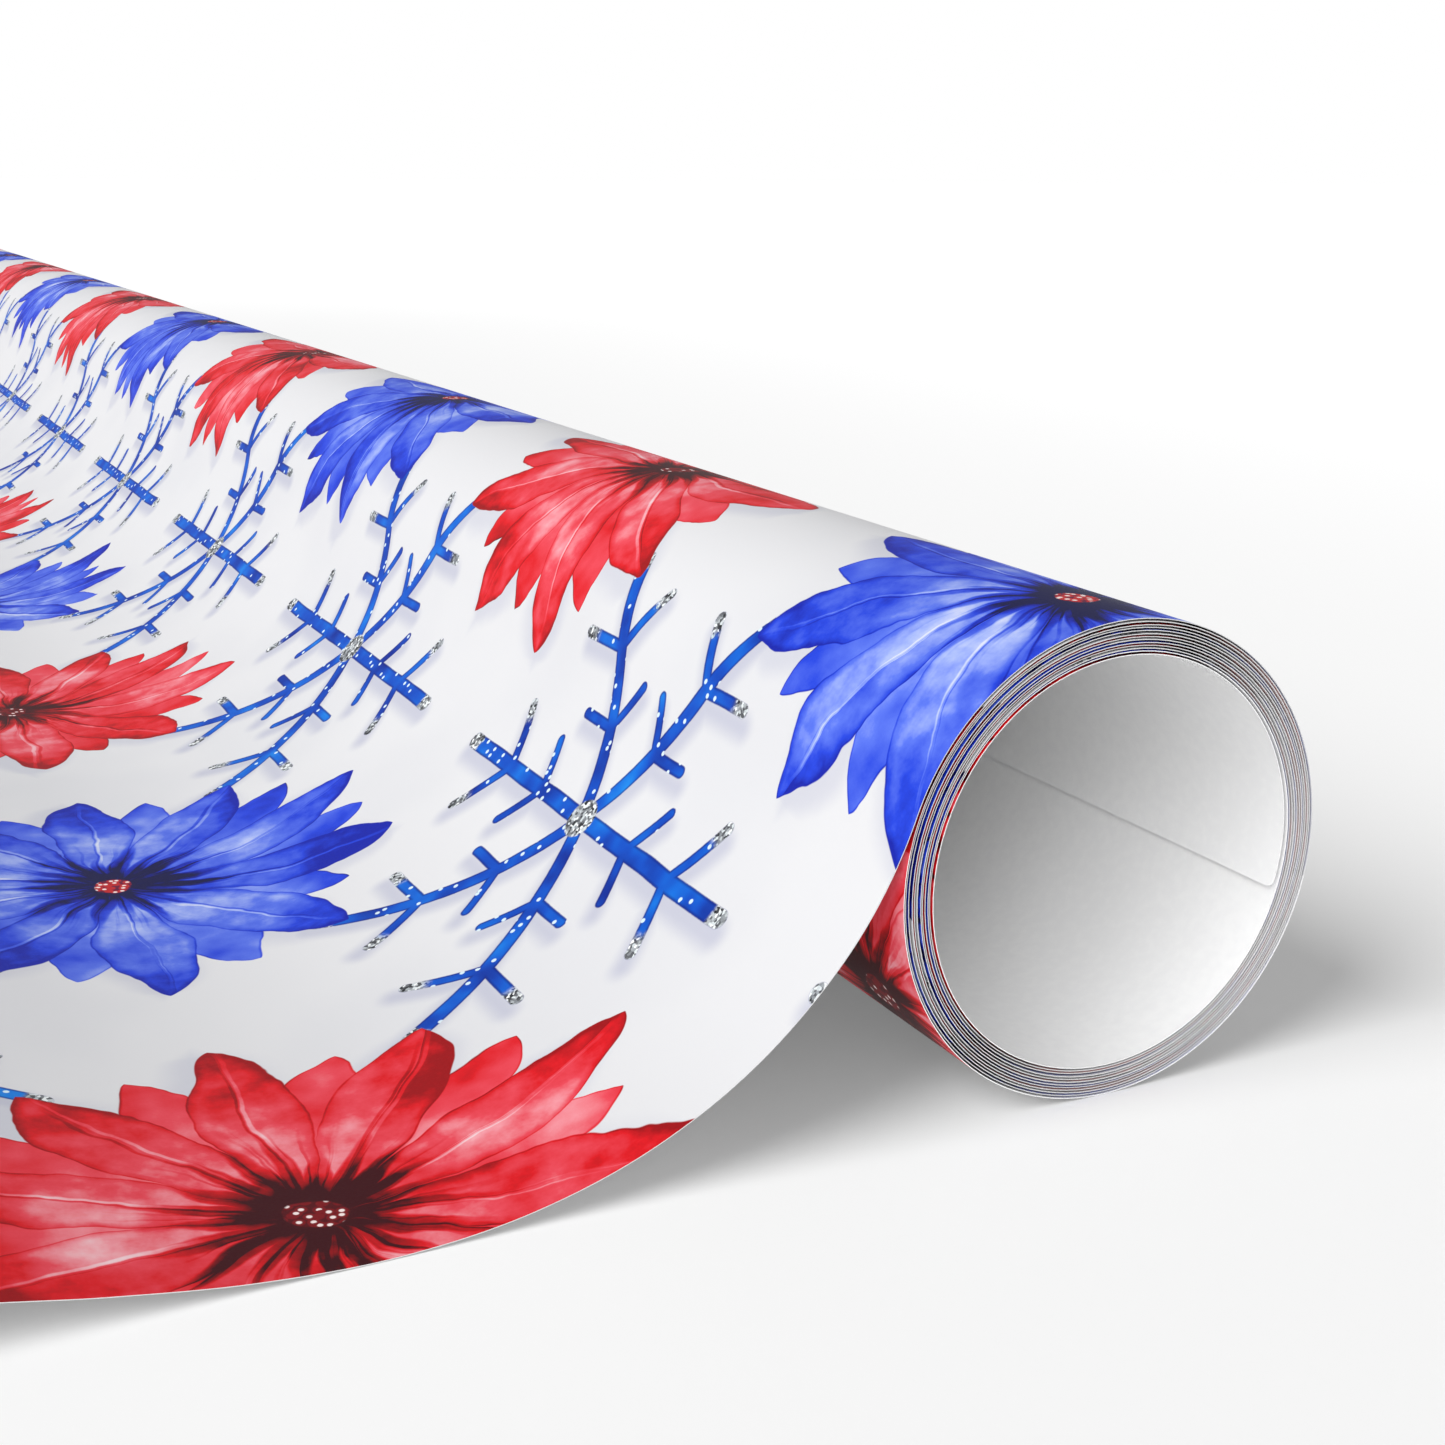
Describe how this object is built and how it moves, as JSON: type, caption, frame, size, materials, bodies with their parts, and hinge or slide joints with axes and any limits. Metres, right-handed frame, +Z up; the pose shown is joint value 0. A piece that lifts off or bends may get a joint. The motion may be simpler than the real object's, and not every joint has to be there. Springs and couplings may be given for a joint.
{
  "type": "wrapping paper roll",
  "caption": "Coreless roll of printed wrapping paper lying on its side, its outer end drawn off over the top and down to the ground.",
  "frame": {"origin": "on the ground under the coil, at mid-width, on the flat the coil rests on", "axes": "+X along the roll's axis; +Z up; the sheet leaves the coil towards -Y"},
  "size_m": [0.762, 0.1619, 0.0438],
  "materials": {
    "printed_paper": "satin white paper, printed on its outer face with red and blue flowers and blue snowflakes, plain white on its back"
  },
  "bodies": {
    "coil_wrap_01": {"coil_wrap_01": "printed_paper"},
    "coil_wrap_02": {"coil_wrap_02": "printed_paper"},
    "coil_wrap_03": {"coil_wrap_03": "printed_paper"},
    "coil_wrap_04": {"coil_wrap_04": "printed_paper"},
    "coil_wrap_05": {"coil_wrap_05": "printed_paper"},
    "coil_wrap_06": {"coil_wrap_06": "printed_paper"},
    "coil_wrap_07": {"coil_wrap_07": "printed_paper"},
    "coil_wrap_08": {"coil_wrap_08": "printed_paper"},
    "coil_wrap_09": {"coil_wrap_09": "printed_paper"},
    "coil_wrap_10": {"coil_wrap_10": "printed_paper"},
    "coil_wrap_11": {"coil_wrap_11": "printed_paper"},
    "coil_wrap_12": {"coil_wrap_12": "printed_paper"},
    "inner_free_end": {"inner_free_end": "printed_paper"},
    "leader_strip_01": {"leader_strip_01": "printed_paper"},
    "leader_strip_02": {"leader_strip_02": "printed_paper"},
    "leader_strip_03": {"leader_strip_03": "printed_paper"},
    "leader_strip_04": {"leader_strip_04": "printed_paper"},
    "leader_strip_05": {"leader_strip_05": "printed_paper"},
    "leader_strip_06": {"leader_strip_06": "printed_paper"},
    "leader_strip_07": {"leader_strip_07": "printed_paper"},
    "leader_strip_08": {"leader_strip_08": "printed_paper"},
    "leader_strip_09": {"leader_strip_09": "printed_paper"},
    "leader_strip_10": {"leader_strip_10": "printed_paper"},
    "leader_strip_11": {"leader_strip_11": "printed_paper"},
    "leader_strip_12": {"leader_strip_12": "printed_paper"}
  },
  "joints": [
    {"name": "telescope_11", "type": "slide", "parent": "coil_wrap_12", "child": "coil_wrap_11", "axis": [1, 0, 0], "range_m": [-0.003, 0.003], "stiffness_N_per_m": 50},
    {"name": "telescope_10", "type": "slide", "parent": "coil_wrap_11", "child": "coil_wrap_10", "axis": [1, 0, 0], "range_m": [-0.003, 0.003], "stiffness_N_per_m": 50},
    {"name": "telescope_09", "type": "slide", "parent": "coil_wrap_10", "child": "coil_wrap_09", "axis": [1, 0, 0], "range_m": [-0.003, 0.003], "stiffness_N_per_m": 50},
    {"name": "telescope_08", "type": "slide", "parent": "coil_wrap_09", "child": "coil_wrap_08", "axis": [1, 0, 0], "range_m": [-0.003, 0.003], "stiffness_N_per_m": 50},
    {"name": "telescope_07", "type": "slide", "parent": "coil_wrap_08", "child": "coil_wrap_07", "axis": [1, 0, 0], "range_m": [-0.003, 0.003], "stiffness_N_per_m": 50},
    {"name": "telescope_06", "type": "slide", "parent": "coil_wrap_07", "child": "coil_wrap_06", "axis": [1, 0, 0], "range_m": [-0.003, 0.003], "stiffness_N_per_m": 50},
    {"name": "telescope_05", "type": "slide", "parent": "coil_wrap_06", "child": "coil_wrap_05", "axis": [1, 0, 0], "range_m": [-0.003, 0.003], "stiffness_N_per_m": 50},
    {"name": "telescope_04", "type": "slide", "parent": "coil_wrap_05", "child": "coil_wrap_04", "axis": [1, 0, 0], "range_m": [-0.003, 0.003], "stiffness_N_per_m": 50},
    {"name": "telescope_03", "type": "slide", "parent": "coil_wrap_04", "child": "coil_wrap_03", "axis": [1, 0, 0], "range_m": [-0.003, 0.003], "stiffness_N_per_m": 50},
    {"name": "telescope_02", "type": "slide", "parent": "coil_wrap_03", "child": "coil_wrap_02", "axis": [1, 0, 0], "range_m": [-0.003, 0.003], "stiffness_N_per_m": 50},
    {"name": "telescope_01", "type": "slide", "parent": "coil_wrap_02", "child": "coil_wrap_01", "axis": [1, 0, 0], "range_m": [-0.003, 0.003], "stiffness_N_per_m": 50},
    {"name": "inner_end_hinge", "type": "hinge", "parent": "coil_wrap_01", "child": "inner_free_end", "pos_m": [0, 0.00364, 0.04031], "axis": [-1, 0, 0], "range_deg": [0, 25], "stiffness_Nm_per_rad": 0.05},
    {"name": "leader_bend_01", "type": "hinge", "parent": "coil_wrap_12", "child": "leader_strip_01", "pos_m": [0, -0.02159, 0.02607], "axis": [1, 0, 0], "range_deg": [-3, 27.22], "stiffness_Nm_per_rad": 0.05},
    {"name": "leader_bend_02", "type": "hinge", "parent": "leader_strip_01", "child": "leader_strip_02", "pos_m": [0, -0.02759, 0.01716], "axis": [1, 0, 0], "range_deg": [-5.75, 52.14], "stiffness_Nm_per_rad": 0.05},
    {"name": "leader_bend_03", "type": "hinge", "parent": "leader_strip_02", "child": "leader_strip_03", "pos_m": [0, -0.03539, 0.00976], "axis": [1, 0, 0], "range_deg": [-4.02, 36.37], "stiffness_Nm_per_rad": 0.05},
    {"name": "leader_bend_04", "type": "hinge", "parent": "leader_strip_03", "child": "leader_strip_04", "pos_m": [0, -0.04469, 0.00438], "axis": [1, 0, 0], "range_deg": [-4.41, 39.96], "stiffness_Nm_per_rad": 0.05},
    {"name": "leader_bend_05", "type": "hinge", "parent": "leader_strip_04", "child": "leader_strip_05", "pos_m": [0, -0.05497, 0.0012], "axis": [1, 0, 0], "range_deg": [-4.23, 38.34], "stiffness_Nm_per_rad": 0.05},
    {"name": "leader_bend_06", "type": "hinge", "parent": "leader_strip_05", "child": "leader_strip_06", "pos_m": [0, -0.06566, 0.00011], "axis": [1, 0, 0], "range_deg": [-3.96, 35.88], "stiffness_Nm_per_rad": 0.05},
    {"name": "leader_bend_07", "type": "hinge", "parent": "leader_strip_06", "child": "leader_strip_07", "pos_m": [0, -0.0764, 0.00066], "axis": [1, 0, 0], "range_deg": [-3.62, 32.8], "stiffness_Nm_per_rad": 0.05},
    {"name": "leader_bend_08", "type": "hinge", "parent": "leader_strip_07", "child": "leader_strip_08", "pos_m": [0, -0.08702, 0.00228], "axis": [1, 0, 0], "range_deg": [-3.24, 29.33], "stiffness_Nm_per_rad": 0.05},
    {"name": "leader_bend_09", "type": "hinge", "parent": "leader_strip_08", "child": "leader_strip_09", "pos_m": [0, -0.09758, 0.00433], "axis": [1, 0, 0], "range_deg": [-2.32, 20.95], "stiffness_Nm_per_rad": 0.05},
    {"name": "leader_bend_10", "type": "hinge", "parent": "leader_strip_09", "child": "leader_strip_10", "pos_m": [0, -0.10829, 0.00524], "axis": [1, 0, 0], "range_deg": [-2.21, 20.02], "stiffness_Nm_per_rad": 0.05},
    {"name": "leader_bend_11", "type": "hinge", "parent": "leader_strip_10", "child": "leader_strip_11", "pos_m": [0, -0.11903, 0.00483], "axis": [1, 0, 0], "range_deg": [-2.21, 20.02], "stiffness_Nm_per_rad": 0.05},
    {"name": "leader_bend_12", "type": "hinge", "parent": "leader_strip_11", "child": "leader_strip_12", "pos_m": [0, -0.12964, 0.00311], "axis": [1, 0, 0], "range_deg": [-2.21, 20.02], "stiffness_Nm_per_rad": 0.05}
  ],
  "couplings": [
    {"joint": "telescope_10", "follows": "telescope_11", "ratio": 1},
    {"joint": "telescope_09", "follows": "telescope_11", "ratio": 1},
    {"joint": "telescope_08", "follows": "telescope_11", "ratio": 1},
    {"joint": "telescope_07", "follows": "telescope_11", "ratio": 1},
    {"joint": "telescope_06", "follows": "telescope_11", "ratio": 1},
    {"joint": "telescope_05", "follows": "telescope_11", "ratio": 1},
    {"joint": "telescope_04", "follows": "telescope_11", "ratio": 1},
    {"joint": "telescope_03", "follows": "telescope_11", "ratio": 1},
    {"joint": "telescope_02", "follows": "telescope_11", "ratio": 1},
    {"joint": "telescope_01", "follows": "telescope_11", "ratio": 1},
    {"joint": "leader_bend_02", "follows": "leader_bend_01", "ratio": 1.9151},
    {"joint": "leader_bend_03", "follows": "leader_bend_01", "ratio": 1.3357},
    {"joint": "leader_bend_04", "follows": "leader_bend_01", "ratio": 1.4675},
    {"joint": "leader_bend_05", "follows": "leader_bend_01", "ratio": 1.4079},
    {"joint": "leader_bend_06", "follows": "leader_bend_01", "ratio": 1.3176},
    {"joint": "leader_bend_07", "follows": "leader_bend_01", "ratio": 1.2046},
    {"joint": "leader_bend_08", "follows": "leader_bend_01", "ratio": 1.0771},
    {"joint": "leader_bend_09", "follows": "leader_bend_01", "ratio": 0.76919},
    {"joint": "leader_bend_10", "follows": "leader_bend_01", "ratio": 0.73502},
    {"joint": "leader_bend_11", "follows": "leader_bend_01", "ratio": 0.73502},
    {"joint": "leader_bend_12", "follows": "leader_bend_01", "ratio": 0.73502}
  ]
}
